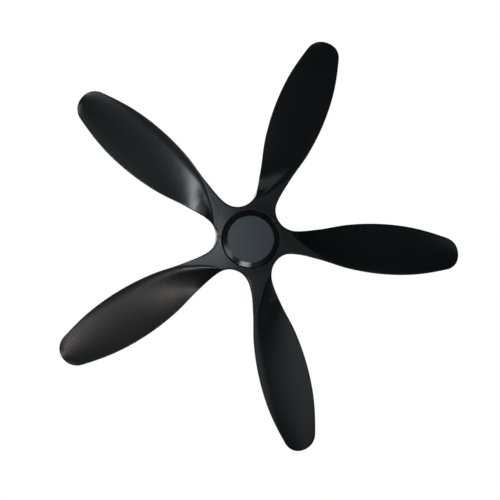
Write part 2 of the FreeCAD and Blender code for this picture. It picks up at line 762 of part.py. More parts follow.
def ball_bearing(prefix, low, high):
    """Inner race, outer race, balls and cage of one bearing between two heights."""
    mid = "((%s + %s) / 2)" % (low, high)
    groove = "(bearing_ball + track_play)"
    spread = "sqrt(%s ^ 2 - (ball_track - race_edge) ^ 2)" % groove
    inner_edge = "race_edge"
    outer_edge = "(2 * ball_track - race_edge)"
    inner_seat = "shaft_radius + slip_fit / 5"
    turned(prefix + "_bearing_inner", [
        (inner_seat, low), (inner_edge, low), (inner_edge, "%s - %s" % (mid, spread), groove, 1),
        (inner_edge, "%s + %s" % (mid, spread)), (inner_edge, high), (inner_seat, high)])
    outer_seat = "bearing_radius"
    turned(prefix + "_bearing_outer", [
        (outer_seat, low), (outer_seat, high), (outer_edge, high),
        (outer_edge, "%s + %s" % (mid, spread), groove, 1),
        (outer_edge, "%s - %s" % (mid, spread)), (outer_edge, low)])
    balls = new_body(prefix + "_bearing_balls")
    ball = revolve(balls, [("0", mid + " - bearing_ball", "bearing_ball", -1),
                           ("bearing_ball", mid, "bearing_ball", -1),
                           ("0", mid + " + bearing_ball")], away="ball_track")
    ring_of(balls, [ball], "bearing_balls")
    cage = turned(prefix + "_bearing_cage", [
        ("ball_track - cage_wall / 2", mid + " - cage_rise / 2"),
        ("ball_track + cage_wall / 2", mid + " - cage_rise / 2"),
        ("ball_track + cage_wall / 2", mid + " + cage_rise / 2"),
        ("ball_track - cage_wall / 2", mid + " + cage_rise / 2")])
    pocket = pad(cage, "YZ_Plane", [("0", mid, "bearing_ball + 2 * track_play")],
                 "0", "bearing_radius", cut=True)
    ring_of(cage, [pocket], "bearing_balls")


# ---------------------------------------------------------------- rotor
def rotor_cap(label, way, plate, boss_end):
    """One half of the rotor's case: a plate, a boss for a bearing and a rim about the ring."""
    inside = "(%s %s cap_plate)" % (plate, way)
    rim = "(ring_outer + slip_fit)"
    boss = "(bearing_radius + slip_fit / 5)"
    points = [("cap_eye_radius", plate), ("rotor_radius", plate), ("rotor_radius", "rotor_mid"),
              (rim, "rotor_mid"), (rim, inside), (boss + " + cap_boss_wall", inside),
              (boss + " + cap_boss_wall", boss_end), (boss, boss_end), (boss, inside),
              ("cap_eye_radius", inside)]
    body = turned(label, points)
    bolt = hole(body, "rotor_bolt_circle", "0", "screw_radius + slip_fit",
                "rotor_foot - 1", "rotor_rise + 2")
    ring_of(body, [bolt], "blade_count")
    if way == "+":
        thread = hole(body, "blade_screw_radius", "0", "screw_radius + slip_fit",
                      "rotor_foot - 1", "cap_plate + 2")
        ring_of(body, [thread], "blade_count * blade_screws_each")
    return body


def rotor_magnets():
    turned("rotor_ring", [("ring_inner", "rotor_mid - ring_rise / 2"),
                          ("ring_outer", "rotor_mid - ring_rise / 2"),
                          ("ring_outer", "rotor_mid + ring_rise / 2"),
                          ("ring_inner", "rotor_mid + ring_rise / 2")])
    body = new_body("magnets")
    outer = "ring_inner - slip_fit"
    low, high = "rotor_mid - ring_rise / 2 + 1", "rotor_mid + ring_rise / 2 - 1"
    magnet = revolve(body, [("magnet_inner", low), (outer, low), (outer, high),
                            ("magnet_inner", high)], angle="magnet_angle")
    ring_of(body, [magnet], "magnet_count")


def screw_ring(label, circle, seat, head_up, shank, count, turn="0"):
    """Identical screws, evenly spaced on a circle."""
    body = new_body(label)
    screw = revolve(body, screw_profile(seat, head_up, shank), away=circle)
    if turn != "0":
        body.setExpression("Placement.Rotation.Angle", linked(turn))
        body.Placement.Rotation.Axis = Vector(0, 0, 1)
    ring_of(body, [screw], count)
    return body


def blade_plan():
    """Half-outline of a blade, from the hub's seam to the tip, as edges in the ground plane."""
    seam = math.radians(180 / number("blade_count"))
    ray = Vector(math.cos(seam), math.sin(seam), 0)
    inward = Vector(math.sin(seam), -math.cos(seam), 0)
    round_radius = number("valley_round")
    shrink = number("seam_gap") / 2
    centre = ray * (number("hub_radius") + round_radius)
    tilt = math.asin(shrink / round_radius)

    def on_valley(angle):
        return centre - ray * round_radius * math.cos(angle) + inward * round_radius * math.sin(angle)

    waist_angle = math.pi / 2 - seam
    start = on_valley(tilt)
    waist = on_valley(waist_angle)
    root = ray * number("root_inner_radius") + inward * shrink
    tip_centre = Vector(number("sweep_radius - tip_round"), 0, 0)
    tip_turn = math.radians(number("tip_turn"))
    side = Vector(math.sin(tip_turn), math.cos(tip_turn), 0)
    shoulder = tip_centre + side * number("tip_round")
    run = shoulder.x - waist.x
    stations = ((0.167, "inner_half_chord"), (0.355, "middle_half_chord"),
                (0.59, "widest_half_chord"), (0.794, "outer_half_chord"))
    knots = [waist]
    for share, half_chord in stations:
        knots.append(Vector(waist.x + share * run, number(half_chord), 0))
    knots.append(shoulder)
    edge = Part.BSplineCurve()
    edge.interpolate(Points=knots, InitialTangent=Vector(1, 0, 0),
                     FinalTangent=Vector(side.y, -side.x, 0))
    tip = Vector(number("sweep_radius"), 0, 0)
    middle = tip_centre + Vector(math.cos((math.pi / 2 - tip_turn) / 2),
                                 math.sin((math.pi / 2 - tip_turn) / 2), 0) * number("tip_round")
    return [Part.LineSegment(root, start).toShape(),
            Part.Arc(start, on_valley((tilt + waist_angle) / 2), waist).toShape(),
            edge.toShape(), Part.Arc(shoulder, middle, tip).toShape()]


def blade_section(reach):
    """The blade's closed cross-section at a distance from the axis, in the plane across it."""
    root_end = number("root_end")
    turn = math.radians(number("crease_turn"))
    ease = min(max((reach - number("hub_radius")) / (root_end - number("hub_radius")), 0), 1)
    pitch = number("root_pitch")
    if reach > root_end:
        fade = (root_end / reach) ** number("pitch_fade")
        pitch = number("tip_pitch") + (pitch - number("tip_pitch")) * fade
    middle = number("blade_lift") - number("root_rise_rate") * max(root_end - reach, 0)
    crease = -(reach - number("crease_reach")) * math.tan(turn)
    band = number("crease_band") / math.cos(turn)
    wide = number("widest_half_chord") * 1.5
    crease = max(crease, -wide * 0.85)
    lead = wide if reach > root_end else max(crease + band + 8, number("inner_half_chord") + 8)

    def pitched(across):
        return middle + math.tan(math.radians(pitch)) * across

    flat = reach <= root_end
    lower = [(-wide, 0 if flat else pitched(-wide)), (crease, 0 if flat else pitched(crease)),
             (crease + band, max(pitched(crease + band), 0) if flat else pitched(crease + band)),
             (lead, pitched(lead))]
    full = number("hub_rise")
    upper = []
    for across, height in lower:
        top = full + (height + number("blade_sheet") - full) * ease ** 1.5
        upper.append((across, top))
    if reach <= number("hub_radius"):
        lower = [(across, 0) for across, height in lower]
    foot = number("hub_foot")
    points = [Vector(reach, -across, foot + height) for across, height in lower + upper[::-1]]
    return Part.makePolygon(points + points[:1])


def blade_shape():
    """A blade cut from a twisted slab by its outline, with a recess for the light in its root."""
    half = blade_plan()
    mirror = FreeCAD.Matrix()
    mirror.scale(1, -1, 1)
    other = [edge.transformGeometry(mirror) for edge in half]
    roots = [half[0].Vertexes[0].Point, other[0].Vertexes[0].Point]
    outline = Part.Wire(Part.__sortEdges__(
        half + other + [Part.LineSegment(Vector(*roots[0]), Vector(*roots[1])).toShape()]))
    foot = number("hub_foot")
    prism = Part.Face(outline).extrude(Vector(0, 0, 4 * number("hub_rise")))
    prism.translate(Vector(0, 0, foot - number("hub_rise")))
    root_end, sweep, hub = number("root_end"), number("sweep_radius"), number("hub_radius")
    reaches = [number("root_inner_radius") / 2, hub]
    reaches += [hub + (root_end - hub) * share for share in (0.25, 0.5, 0.8, 1.0)]
    reaches += [root_end + (sweep + 5 - root_end) * share
                for share in (0.08, 0.17, 0.3, 0.5, 0.75, 1.0)]
    slab = Part.makeLoft([blade_section(reach) for reach in reaches], True, True)
    blade = prism.common(slab)
    recess, lip = number("recess_radius"), number("lip_chamfer")
    ceiling = number("rotor_foot - root_flange")
    profile = Part.makePolygon([
        Vector(0, 0, ceiling), Vector(recess, 0, ceiling), Vector(recess, 0, foot + lip),
        Vector(recess + lip, 0, foot), Vector(recess + lip, 0, foot - 5), Vector(0, 0, foot - 5),
        Vector(0, 0, ceiling)])
    blade = blade.cut(Part.Face(profile).revolve(Vector(0, 0, 0), Vector(0, 0, 1), 360))
    each = int(number("blade_screws_each"))
    step = 360 / (number("blade_count") * each)
    for index in range(each):
        angle = math.radians((index - (each - 1) / 2) * step)
        circle = number("blade_screw_radius")
        drill = Part.makeCylinder(number("screw_radius + slip_fit"), number("root_flange") + 2,
                                  Vector(circle * math.cos(angle), circle * math.sin(angle),
                                         ceiling - 1))
        blade = blade.cut(drill)
    return blade.Solids[0] if len(blade.Solids) == 1 else blade


def blades():
    shape = blade_shape()
    for index in range(int(number("blade_count"))):
        blade = doc.addObject("Part::Feature", "blade_%d" % (index + 1))
        blade.Shape = shape
        angle = index * 360 / number("blade_count")
        blade.Placement = FreeCAD.Placement(Vector(0, 0, 0),
                                            FreeCAD.Rotation(Vector(0, 0, 1), angle))
        SUBPARTS.append(blade)


# ---------------------------------------------------------------- light
def hexagon(radius):
    corners = range(0, 360, 60)
    return [("%s * cos(%d)" % (radius, turn), "%s * sin(%d)" % (radius, turn)) for turn in corners]


def light_mount():
    """A steel plate clamped on the shaft's end between two nuts."""
    bore = ("0", "0", "shaft_radius + slip_fit")
    plate = padded("light_plate", "XY_Plane", [("0", "0", "plate_radius"), bore],
                   "pan_top", "plate_sheet")
    first = hole(plate, "light_screw_circle", "0", "screw_radius + slip_fit", "pan_top - 1",
                 "plate_sheet + 2")
    ring_of(plate, [first], "light_screw_count")
    nuts = padded("light_plate_nuts", "XY_Plane", [hexagon("nut_radius"), bore],
                  "plate_top", "nut_rise")
    pad(nuts, "XY_Plane", [hexagon("nut_radius"), bore],
        "pan_top - nut_rise", "nut_rise")


def light_pan():
    """A dark cup with a sloping bezel, a ledge with three notches, and bosses for the LED board."""
    side = "pan_radius - pan_wall"
    rim = "(bezel_foot + bezel_fall)"
    body = turned("light_pan", [
        ("nut_radius + 1", "pan_top - pan_wall"), ("nut_radius + 1", "pan_top"),
        ("pan_radius - pan_round", "pan_top", "pan_round", 1), ("pan_radius", "pan_top - pan_round"),
        ("pan_radius", rim), ("lens_radius + turn_gap", "bezel_foot"),
        ("lens_radius + turn_gap", "ledge_foot"), ("ledge_radius", "ledge_foot"),
        ("ledge_radius", "ledge_top"), ("lens_radius + 2", "ledge_top"), (side, rim + " + 0.8"),
        (side, "pan_top - pan_round", "pan_round - pan_wall", -1),
        ("pan_radius - pan_round", "pan_top - pan_wall")])
    boss_foot = "led_board_top"
    boss_rise = "pan_top - pan_wall - led_board_top + 0.5"
    boss_x, boss_y = "boss_circle * cos(180 / boss_count)", "boss_circle * sin(180 / boss_count)"
    boss = pad(body, "XY_Plane", [(boss_x, boss_y, "boss_radius")], boss_foot, boss_rise)
    ring_of(body, [boss], "boss_count")
    pilot = hole(body, boss_x, boss_y, "screw_radius + slip_fit", "led_board_top - 0.5", "8")
    ring_of(body, [pilot], "boss_count")
    screw = hole(body, "light_screw_circle", "0", "screw_radius + slip_fit",
                 "pan_top - pan_wall - 1", "pan_wall + 2")
    ring_of(body, [screw], "light_screw_count")
    notch = pad(body, "XY_Plane",
                [sector_loop("ledge_radius - 2", "notch_radius", "(lug_angle / 2 + 1)")],
                "ledge_foot - 0.5", "ledge_sheet + 1", cut=True, turn="lens_turn")
    ring_of(body, [notch], "lug_count")
    return body


def lens():
    """A flat round diffuser with a skirt and three bayonet lugs over the pan's ledge."""
    skirt = "skirt_radius"
    lug_foot = "ledge_top + swing_gap"
    skirt_top = "(ledge_top + swing_gap + lug_rise)"
    body = turned("lens", [
        ("0", "lens_face"), ("lens_radius - lens_round", "lens_face", "lens_round", -1),
        ("lens_radius", "lens_face + lens_round"), ("lens_radius", "lens_back"),
        (skirt, "lens_back"), (skirt, skirt_top), (skirt + " - skirt_wall", skirt_top),
        (skirt + " - skirt_wall", "lens_back"), ("0", "lens_back")])
    lug = pad(body, "XY_Plane",
              [sector_loop("skirt_radius - skirt_wall / 2", "ledge_radius + lug_reach",
                           "(lug_angle / 2)")], lug_foot, "lug_rise")
    ring_of(body, [lug], "lug_count")
    return body


def light_electrics():
    """The LED board with its chips, and the driver box beside the nut."""
    board = padded("led_board", "XY_Plane", [("0", "0", "led_board_radius")],
                   "led_board_foot", "board_sheet")
    first = hole(board, "boss_circle * cos(180 / boss_count)",
                 "boss_circle * sin(180 / boss_count)",
                 "screw_radius + slip_fit", "led_board_foot - 1", "board_sheet + 2")
    ring_of(board, [first], "boss_count")
    chips = new_body("led_chips")
    half = "chip_side / 2"
    for circle, count in (("outer_chip_circle", "outer_chips"), ("inner_chip_circle", "inner_chips")):
        chip = pad(chips, "XY_Plane",
                   [box_loop("%s - %s" % (circle, half), "%s + %s" % (circle, half),
                             "-" + half, half)],
                   "led_board_foot - chip_rise", "chip_rise")
        ring_of(chips, [chip], count)
    box("led_driver", "driver_offset", "driver_offset + driver_length",
        "-driver_width / 2", "driver_width / 2", "pan_top - pan_wall - driver_rise", "driver_rise")


# ---------------------------------------------------------------- build, check and write
def build():
    mounting_bracket()
    canopy()
    canopy_screws()
    ceiling_electrics()
    hanger_ball()
    downrod()
    motor_yoke()
    pins_and_set_screws()
    yoke_pin_clip()
    coupling_cover()
    motor_housing()
    screw_ring("housing_screws", "housing_screw_circle", "housing_top + yoke_flange", "+",
               "yoke_flange + housing_wall + 3", "housing_screw_count")
    motor_shaft()
    circlips()
    stator_core()
    stator_coils()
    driver_board()
    ball_bearing("upper", "upper_bearing_foot", "upper_bearing_top")
    ball_bearing("lower", "lower_bearing_foot", "lower_bearing_top")
    rotor_cap("rotor_top_cap", "-", "rotor_top", "upper_bearing_foot")
    rotor_cap("rotor_bottom_cap", "+", "rotor_foot", "lower_bearing_top")
    rotor_magnets()
    screw_ring("rotor_screws", "rotor_bolt_circle", "rotor_top", "+", "rotor_rise - 0.5",
               "blade_count")
    blades()
    screw_ring("blade_screws", "blade_screw_radius", "rotor_foot - root_flange", "-",
               "root_flange + cap_plate - 0.5", "blade_count * blade_screws_each")
    light_mount()
    light_pan()
    screw_ring("light_screws", "light_screw_circle", "pan_top - pan_wall", "-",
               "pan_wall + plate_sheet + 2", "light_screw_count")
    light_electrics()
    screw_ring("led_board_screws", "boss_circle", "led_board_foot", "-", "board_sheet + 6",
               "boss_count", "180 / boss_count")
    lens()
    doc.recompute()


def check():
    for item in doc.Objects:
        for word in ("Invalid", "Error"):
            if word in item.State:
                raise RuntimeError("%s is %s" % (item.Label, word))
    for part in SUBPARTS:
        if part.Shape.isNull() or not part.Shape.isValid():
            raise RuntimeError("%s has no valid shape" % part.Label)


build()
check()
os.makedirs("parts", exist_ok=True)
for part in SUBPARTS:
    part.Shape.exportStep("parts/%s.step" % part.Label)
print("%d sub-parts" % len(SUBPARTS))
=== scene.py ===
# Looks of the five-blade ceiling fan: smooth blades, procedural materials, lights and camera.
# Every length here is in metres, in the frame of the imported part: +Z up, origin at the ceiling.
import json
import math

import bpy
from mathutils import Matrix, Vector


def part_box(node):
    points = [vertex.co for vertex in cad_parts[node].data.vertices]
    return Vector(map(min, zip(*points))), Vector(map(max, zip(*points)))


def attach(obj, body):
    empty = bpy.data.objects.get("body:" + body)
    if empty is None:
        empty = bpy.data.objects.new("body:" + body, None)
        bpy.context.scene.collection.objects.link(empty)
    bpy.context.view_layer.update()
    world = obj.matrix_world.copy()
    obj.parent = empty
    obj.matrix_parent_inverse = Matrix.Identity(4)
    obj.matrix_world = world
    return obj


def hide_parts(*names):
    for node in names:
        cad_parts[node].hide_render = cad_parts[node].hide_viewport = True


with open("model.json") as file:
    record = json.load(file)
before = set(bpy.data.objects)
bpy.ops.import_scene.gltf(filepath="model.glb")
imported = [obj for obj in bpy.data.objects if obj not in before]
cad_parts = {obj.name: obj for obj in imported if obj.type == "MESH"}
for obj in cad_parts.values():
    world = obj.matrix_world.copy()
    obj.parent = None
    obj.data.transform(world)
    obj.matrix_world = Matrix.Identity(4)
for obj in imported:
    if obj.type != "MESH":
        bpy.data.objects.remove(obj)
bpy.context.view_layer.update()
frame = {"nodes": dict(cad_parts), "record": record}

MM = 0.001

# ---------------------------------------------------------------- places taken from the frame
BLADE_LOW, BLADE_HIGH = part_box("blade_1")
SWEEP = BLADE_HIGH.x                       # axis to a blade's tip
HUB_FOOT = BLADE_LOW.z                     # the hub's lowest level
FLANGE_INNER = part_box("rotor_bottom_cap")[0].z

# ---------------------------------------------------------------- blade shape
# The outline is the part's. The camber, the root's twist and the rounded rims are the shell's own.
BLADES = 5
SEAM = math.pi / BLADES                    # half the angle between two blades
SEAM_GAP = 0.25 * MM
HUB_RADIUS = 102.6 * MM
VALLEY_ROUND = 60.7 * MM
RECESS_RADIUS = 88.6 * MM
FLANGE_RADIUS = 48 * MM
FLANGE_SHEET = 6 * MM
FLANGE_OVERLAP = 2 * MM                    # how far the flange reaches into the hub's edge
FLANGE_STEPS = 24
HUB_RISE = FLANGE_INNER - HUB_FOOT
TIP_ROUND = 52 * MM
TIP_TURN = math.radians(15.6)
# share of the way from waist to shoulder, and half the blade's width there
HALF_CHORDS = ((0.167, 47.2 * MM), (0.355, 68.6 * MM), (0.59, 79 * MM), (0.794, 72.7 * MM))
LEAST_CHORD = 30 * MM
BLADE_SHEET = 5.6 * MM
BLADE_LIFT = 18 * MM                       # the blade's middle line above the hub's underside
CREASE_REACH = 149 * MM                    # where the root's crease meets the middle line
CREASE_TURN = math.radians(47)
CREASE_BAND = 20 * MM                      # over which the surface climbs from hub to blade
CREASE_SOFTNESS = 1.5 * MM
CREASE_MARGIN = 3 * MM
ROOT_END = 190 * MM
ROOT_PITCH = math.radians(30)
TIP_PITCH = math.radians(11)
PITCH_FADE = 2.6
ROOT_TWIST = math.radians(5) / (65 * MM)   # extra pitch towards the hub, within the root
ROOT_RISE_RATE = 0.45
CAMBER = 4 * MM
CAMBER_START = 150 * MM
CAMBER_SPAN = 80 * MM
ROOT_BLEND = 70 * MM                       # over which the root's slope eases into the blade's
TRAILING_BLEND = 8 * MM                    # softens the trailing edge near the hub's level
CROWN_RISE = 3 * MM                        # how far the hub's underside rises from its recess
CROWN_REACH = 40 * MM
CROWN_FADE_START = 200 * MM
CROWN_FADE_SPAN = 150 * MM
HUB_RIM = 4.5 * MM                         # rounding of the hub's edge in the valleys
HUB_EDGE = 1.2 * MM                        # rounding of the hub's edge at its recess
SEAM_EDGE = HUB_EDGE * 0.5                 # rounding at the seam between two blades
SHEET_EDGE = BLADE_SHEET * 0.46            # rounding of the blade's own edge
VALLEY_RIM_SHARE = 0.25                    # share of the valley over which the rounding grows
SHEET_RIM_SHARE = 0.12                     # share of the edge over which it shrinks again
UPPER_EASE = 1.2
SLOPE_STEP = 0.2 * MM

# ---------------------------------------------------------------- how finely a blade is divided
SEAM_ROWS, VALLEY_ROWS, EDGE_ROWS, TIP_ROWS = 5, 34, 110, 26
EDGE_GROWTH = 1.15                         # rows get further apart along the edge
COLUMNS = 48
COLUMN_EVENNESS = 0.75                     # the rest bunches the columns towards the rims
ROUND_STEPS = (0.0, 0.12, 0.35, 0.65, 1.0)
ARC_END = 210 * MM                         # rows are arcs at the hub and straight from here on
SHELL_CREASE = 40                          # degrees above which an edge shows sharp
CAD_CREASE = 32


# ---------------------------------------------------------------- small helpers
def smooth(value):
    value = min(max(value, 0.0), 1.0)
    return value * value * (3 - 2 * value)


def soft_ramp(value, width):
    """Zero below, the value itself above, rounded over a width at the corner."""
    if value <= -width:
        return 0.0
    if value >= width:
        return value
    return (value + width) ** 2 / (4 * width)


def mesh_object(name, points, faces):
    mesh = bpy.data.meshes.new(name)
    mesh.from_pydata([tuple(point) for point in points], [], faces)
    mesh.validate()
    mesh.update()
    piece = bpy.data.objects.new(name, mesh)
    bpy.context.scene.collection.objects.link(piece)
    for polygon in mesh.polygons:
        polygon.use_smooth = True
    mesh.set_sharp_from_angle(angle=math.radians(SHELL_CREASE))
    return piece


# ---------------------------------------------------------------- blade outline
def hermite(knots, slopes, x):
    """A smooth curve through (x, y) knots with given slopes."""
    for (x0, y0), (x1, y1), m0, m1 in zip(knots, knots[1:], slopes, slopes[1:]):
        if x <= x1 or (x1, y1) == knots[-1]:
            span = x1 - x0
            share = min(max((x - x0) / span, 0.0), 1.0)
            a = (1 + 2 * share) * (1 - share) ** 2
            b = share * (1 - share) ** 2 * span
            c = share * share * (3 - 2 * share)
            d = share * share * (share - 1) * span
            return a * y0 + b * m0 + c * y1 + d * m1
    return knots[-1][1]


SEAM_RAY = Vector((math.cos(SEAM), math.sin(SEAM)))
SEAM_IN = Vector((math.sin(SEAM), -math.cos(SEAM)))
VALLEY_CENTRE = SEAM_RAY * (HUB_RADIUS + VALLEY_ROUND)
WAIST = Vector((VALLEY_CENTRE.x, VALLEY_CENTRE.y - VALLEY_ROUND))
TIP_CENTRE = Vector((SWEEP - TIP_ROUND, 0))
SHOULDER = TIP_CENTRE + Vector((math.sin(TIP_TURN), math.cos(TIP_TURN))) * TIP_ROUND
EDGE_KNOTS = [tuple(WAIST)]
for edge_share, edge_half in HALF_CHORDS:
    EDGE_KNOTS.append((WAIST.x + edge_share * (SHOULDER.x - WAIST.x), edge_half))
EDGE_KNOTS.append(tuple(SHOULDER))


def knot_slopes(knots, first, last):
    slopes = [first]
    for before, here, after in zip(knots, knots[1:], knots[2:]):
        rise0 = (here[1] - before[1]) / (here[0] - before[0])
        rise1 = (after[1] - here[1]) / (after[0] - here[0])
        span0, span1 = here[0] - before[0], after[0] - here[0]
        slopes.append((rise0 * span1 + rise1 * span0) / (span0 + span1))
    return slopes + [last]


EDGE_SLOPES = knot_slopes(EDGE_KNOTS, 0.0, -math.tan(TIP_TURN))


def half_chord(x):
    """Half the blade's width at a distance along it."""
    if x >= SHOULDER.x:
        return math.sqrt(max(TIP_ROUND ** 2 - (x - TIP_CENTRE.x) ** 2, 0))
    return hermite(EDGE_KNOTS, EDGE_SLOPES, max(x, WAIST.x))


def side_point(part, share, inset):
    """A point of the leading side's outline moved in by inset, on its seam, valley, edge or tip."""
    if part in ("seam", "valley"):
        radius = VALLEY_ROUND + inset
        first = math.asin((SEAM_GAP + inset) / radius)
        last = math.pi / 2 - SEAM
        turn = first if part == "seam" else first + (last - first) * share
        point = (VALLEY_CENTRE - SEAM_RAY * radius * math.cos(turn)
                 + SEAM_IN * radius * math.sin(turn))
        if part == "valley":
            return point
        off = SEAM_GAP + inset
        inner = math.sqrt((RECESS_RADIUS + inset) ** 2 - off ** 2)
        start = SEAM_RAY * inner + SEAM_IN * off
        return start + (point - start) * share
    if part == "edge":
        x = WAIST.x + share * (SHOULDER.x - WAIST.x)
        slope = (half_chord(x + SLOPE_STEP) - half_chord(x - SLOPE_STEP)) / (2 * SLOPE_STEP)
        if share == 0:
            slope = 0.0
        if share == 1:
            slope = -math.tan(TIP_TURN)
        normal = Vector((slope, -1)).normalized()
        return Vector((x, half_chord(x))) + normal * inset
    turn = TIP_TURN + share * (math.pi / 2 - TIP_TURN)
    return TIP_CENTRE + Vector((math.sin(turn), math.cos(turn))) * (TIP_ROUND - inset)


# ---------------------------------------------------------------- blade surfaces
def pitch_at(x):
    """The blade's pitch at a distance along it."""
    if x < ROOT_END:
        return ROOT_PITCH + ROOT_TWIST * (ROOT_END - x)
    return TIP_PITCH + (ROOT_PITCH - TIP_PITCH) * (ROOT_END / x) ** PITCH_FADE


def crown(x, lead):
    """Rise of the hub's gently domed underside away from the light's recess."""
    beyond = max(math.hypot(x, lead) - RECESS_RADIUS, 0.0)
    fade = 1 - smooth((x - CROWN_FADE_START) / CROWN_FADE_SPAN)
    return CROWN_RISE * (1 - math.exp(-beyond / CROWN_REACH)) * fade


def under_height(x, lead):
    """Height of the blade's underside above the hub's foot; lead grows to the leading edge."""
    base = crown(x, lead)
    from_crease = (x - CREASE_REACH) * math.sin(CREASE_TURN) + lead * math.cos(CREASE_TURN)
    if from_crease <= -CREASE_MARGIN:
        return base
    middle = BLADE_LIFT - ROOT_RISE_RATE * soft_ramp(ROOT_END - x, ROOT_BLEND)
    chord = max(half_chord(x), LEAST_CHORD)
    grown = smooth((x - CAMBER_START) / CAMBER_SPAN)
    bow = CAMBER * (1 - min((lead / chord) ** 2, 1.0)) * grown
    pitched = middle + math.tan(pitch_at(x)) * lead + bow
    share = min(max(soft_ramp(from_crease, CREASE_SOFTNESS) / CREASE_BAND, 0.0), 1.0)
    return base + soft_ramp(pitched - base, TRAILING_BLEND) * (1 - (1 - share) ** 2)


def upper_height(x, lead):
    """Height of the blade's upper side: the hub's flat top, easing into the blade's sheet."""
    ease = smooth((math.hypot(x, lead) - HUB_RADIUS) / (ROOT_END - HUB_RADIUS)) ** UPPER_EASE
    top = under_height(x, lead) + BLADE_SHEET
    return HUB_RISE + (top - HUB_RISE) * ease


ROWS = ([("seam", k / SEAM_ROWS) for k in range(SEAM_ROWS)]
        + [("valley", k / VALLEY_ROWS) for k in range(VALLEY_ROWS)]
        + [("edge", (k / EDGE_ROWS) ** EDGE_GROWTH) for k in range(EDGE_ROWS)]
        + [("tip", k / TIP_ROWS) for k in range(TIP_ROWS + 1)])


def edge_radius(part, share):
    """Radius of the rounding at the outline's rim."""
    if part == "seam":
        return SEAM_EDGE
    if part == "valley":
        return SEAM_EDGE + (HUB_RIM - SEAM_EDGE) * smooth(share / VALLEY_RIM_SHARE)
    if part == "edge":
        return HUB_RIM + (SHEET_EDGE - HUB_RIM) * smooth(share / SHEET_RIM_SHARE)
    return SHEET_EDGE


def blade_points():
    """Points and faces of one blade along +X, standing on z = 0 at the hub's underside."""
    points, faces = [], []

    def add(x, lead, height):
        points.append((x, -lead, height))
        return len(points) - 1

    last_row = len(ROWS) - 1
    rim = [("side", row, 1) for row in range(1, last_row + 1)]
    rim += [("side", row, -1) for row in range(last_row - 1, 0, -1)]

    def plan(item, fraction):
        """Plan position and rounding of a rim node at a fraction of its rounding."""
        if item[0] == "arc":
            ring = RECESS_RADIUS + HUB_EDGE * fraction
            off = SEAM_GAP + SEAM_EDGE * fraction
            turn = (SEAM - math.asin(off / ring)) * item[1]
            return Vector((ring * math.cos(turn), ring * math.sin(turn))), HUB_EDGE
        part, share = ROWS[item[1]]
        radius = edge_radius(part, share)
        spot = side_point(part, share, radius * fraction)
        return Vector((spot.x, spot.y * item[2])), radius

    nodes = [("arc", 2 * column / COLUMNS - 1) for column in range(COLUMNS + 1)] + rim
    rings = {"low": [], "high": []}
    for fraction in ROUND_STEPS:
        drop = 1 - math.sqrt(1 - (1 - fraction) ** 2)
        low, high = [], []
        for item in nodes:
            spot, radius = plan(item, fraction)
            low.append(add(spot.x, spot.y, under_height(spot.x, spot.y) + radius * drop))
            high.append(add(spot.x, spot.y, upper_height(spot.x, spot.y) - radius * drop))
        rings["low"].append(low)
        rings["high"].append(high)
    count = len(nodes)
    for step in range(len(ROUND_STEPS) - 1):
        for node in range(count):
            after = (node + 1) % count
            low0, low1 = rings["low"][step], rings["low"][step + 1]
            faces.append((low0[node], low0[after], low1[after], low1[node]))
            high0, high1 = rings["high"][step], rings["high"][step + 1]
            faces.append((high0[after], high0[node], high1[node], high1[after]))
    low0, high0 = rings["low"][0], rings["high"][0]
    for node in range(count):
        after = (node + 1) % count
        faces.append((low0[after], low0[node], high0[node], high0[after]))

    for side, height in (("low", under_height), ("high", upper_height)):
        ring = rings[side][-1]
        leading = {row: ring[COLUMNS + row] for row in range(1, last_row + 1)}
        trailing = {row: ring[count - row] for row in range(1, last_row)}
        grid = [[ring[column] for column in range(COLUMNS + 1)]]
        for row in range(1, last_row):
            x_rim, y_rim = points[leading[row]][0], -points[leading[row]][1]
            ring_radius = math.hypot(x_rim, y_rim)
            bend = 1 - smooth((ring_radius - HUB_RADIUS) / (ARC_END - HUB_RADIUS))
            line = [trailing[row]]
            for column in range(1, COLUMNS):
                share = 2 * column / COLUMNS - 1
                bunched = math.sin(share * math.pi / 2)
                lead = y_rim * (COLUMN_EVENNESS * share + (1 - COLUMN_EVENNESS) * bunched)
                x = x_rim + bend * (math.sqrt(ring_radius ** 2 - lead ** 2) - x_rim)
                line.append(add(x, lead, height(x, lead)))
            line.append(leading[row])
            grid.append(line)
        for above, below in zip(grid, grid[1:]):
            for column in range(COLUMNS):
                quad = (above[column], above[column + 1], below[column + 1], below[column])
                faces.append(quad if side == "low" else quad[::-1])
        tip = leading[last_row]
        for column in range(COLUMNS):
            face = (grid[-1][column], grid[-1][column + 1], tip)
            faces.append(face if side == "low" else face[::-1])
    return points, faces


def flange_points():
    """The inner flange by which the blade is screwed to the rotor, as its own closed block."""
    points, faces = [], []
    turn_limit = SEAM - SEAM_GAP / FLANGE_RADIUS
    low, high = HUB_RISE - FLANGE_SHEET, HUB_RISE
    for step in range(FLANGE_STEPS + 1):
        turn = turn_limit * (2 * step / FLANGE_STEPS - 1)
        for radius in (FLANGE_RADIUS, RECESS_RADIUS + FLANGE_OVERLAP):
            for height in (low, high):
                points.append((radius * math.cos(turn), radius * math.sin(turn), height))
    for step in range(FLANGE_STEPS):
        a, b = 4 * step, 4 * step + 4
        faces += [(a, b, b + 2, a + 2), (a + 1, a + 3, b + 3, b + 1), (a, a + 1, b + 1, b),
                  (a + 2, b + 2, b + 3, a + 3)]
    end = 4 * FLANGE_STEPS
    faces += [(0, 2, 3, 1), (end, end + 1, end + 3, end + 2)]
    return points, faces


